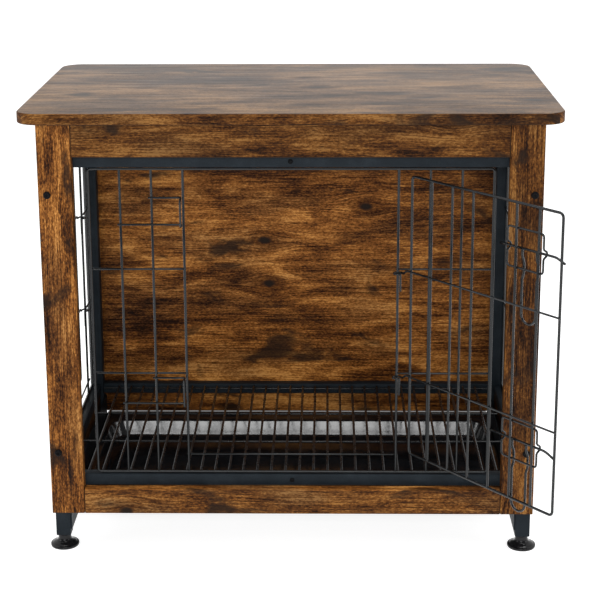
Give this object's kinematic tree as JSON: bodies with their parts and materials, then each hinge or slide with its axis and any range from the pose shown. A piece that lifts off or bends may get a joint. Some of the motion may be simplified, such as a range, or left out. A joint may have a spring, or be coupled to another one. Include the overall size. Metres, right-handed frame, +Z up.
{
  "type": "furniture dog crate",
  "caption": "End-table dog crate: wooden boards on a steel tube frame, wire panels, two latched wire doors, wire floor and slide-out tray.",
  "frame": {"origin": "on the floor, under the middle of the box that holds the crate with its front door open as modelled", "axes": "+X to the right seen from the front, +Y to the back, +Z up; the front faces -Y"},
  "size_m": [0.7, 0.5974, 0.612],
  "materials": {
    "board_wood": "rustic brown wood-grain foil on board, satin",
    "tabletop_wood": "rustic brown wood-grain foil on board, satin",
    "black_steel": "satin blue-black powder coat",
    "black_wire": "satin black coating on wire",
    "tray_plastic": "gloss black",
    "foot_plastic": "black moulded",
    "fastener_steel": "black oxide"
  },
  "bodies": {
    "crate": {"tabletop": "tabletop_wood", "front_top_rail": "board_wood", "front_bottom_rail": "board_wood", "back_panel": "board_wood", "front_left_post": "board_wood", "left_top_rail": "board_wood", "left_bottom_rail": "board_wood", "left_top_tube": "black_steel", "left_bottom_tube": "black_steel", "left_tray_runner": "black_steel", "front_right_post": "board_wood", "right_top_rail": "board_wood", "right_bottom_rail": "board_wood", "right_top_tube": "black_steel", "right_bottom_tube": "black_steel", "right_tray_runner": "black_steel", "front_top_tube": "black_steel", "front_bottom_tube": "black_steel", "front_left_leg": "black_steel", "front_left_plug": "foot_plastic", "front_right_leg": "black_steel", "front_right_plug": "foot_plastic", "back_top_tube": "black_steel", "back_bottom_tube": "black_steel", "back_left_leg": "black_steel", "back_left_plug": "foot_plastic", "back_right_leg": "black_steel", "back_right_plug": "foot_plastic", "front_top_fixing": "fastener_steel", "front_bottom_fixing": "fastener_steel", "back_tube_fixing_1": "fastener_steel", "back_tube_fixing_2": "fastener_steel", "left_post_bolt_1": "fastener_steel", "left_post_bolt_2": "fastener_steel", "right_post_bolt_1": "fastener_steel", "right_post_bolt_2": "fastener_steel", "floor_grid": "black_wire", "front_panel": "black_wire", "left_panel": "black_wire", "right_panel": "black_wire"},
    "tray": {"tray": "tray_plastic"},
    "front_door": {"front_door": "black_wire"},
    "front_upper_bolt": {"front_upper_bolt": "black_wire"},
    "front_lower_bolt": {"front_lower_bolt": "black_wire"},
    "side_door": {"side_door": "black_wire"},
    "side_upper_bolt": {"side_upper_bolt": "black_wire"},
    "side_lower_bolt": {"side_lower_bolt": "black_wire"},
    "front_left_foot": {"front_left_foot": "foot_plastic"},
    "front_right_foot": {"front_right_foot": "foot_plastic"},
    "back_left_foot": {"back_left_foot": "foot_plastic"},
    "back_right_foot": {"back_right_foot": "foot_plastic"}
  },
  "joints": [
    {"name": "front_door_hinge", "type": "hinge", "parent": "crate", "child": "front_door", "pos_m": [0.1403, -0.08448, 0.33], "axis": [0, 0, 1], "range_deg": [-129.5, 21]},
    {"name": "front_upper_latch_slide", "type": "slide", "parent": "front_door", "child": "front_upper_bolt", "axis": [0.6361, -0.7716, 0], "range_m": [-0.019, 0.009]},
    {"name": "front_lower_latch_slide", "type": "slide", "parent": "front_door", "child": "front_lower_bolt", "axis": [0.6361, -0.7716, 0], "range_m": [-0.012, 0.016]},
    {"name": "side_door_hinge", "type": "hinge", "parent": "crate", "child": "side_door", "pos_m": [-0.321, 0.21782, 0.33], "axis": [0, 0, -1], "range_deg": [0, 150]},
    {"name": "side_upper_latch_slide", "type": "slide", "parent": "side_door", "child": "side_upper_bolt", "axis": [0, -1, 0], "range_m": [-0.012, 0.016]},
    {"name": "side_lower_latch_slide", "type": "slide", "parent": "side_door", "child": "side_lower_bolt", "axis": [0, -1, 0], "range_m": [-0.012, 0.016]},
    {"name": "tray_slide", "type": "slide", "parent": "crate", "child": "tray", "axis": [0, -1, 0], "range_m": [0, 0.33]},
    {"name": "front_left_foot_screw", "type": "slide", "parent": "crate", "child": "front_left_foot", "axis": [0, 0, -1], "range_m": [0, 0.012]},
    {"name": "front_right_foot_screw", "type": "slide", "parent": "crate", "child": "front_right_foot", "axis": [0, 0, -1], "range_m": [0, 0.012]},
    {"name": "back_left_foot_screw", "type": "slide", "parent": "crate", "child": "back_left_foot", "axis": [0, 0, -1], "range_m": [0, 0.012]},
    {"name": "back_right_foot_screw", "type": "slide", "parent": "crate", "child": "back_right_foot", "axis": [0, 0, -1], "range_m": [0, 0.012]}
  ]
}
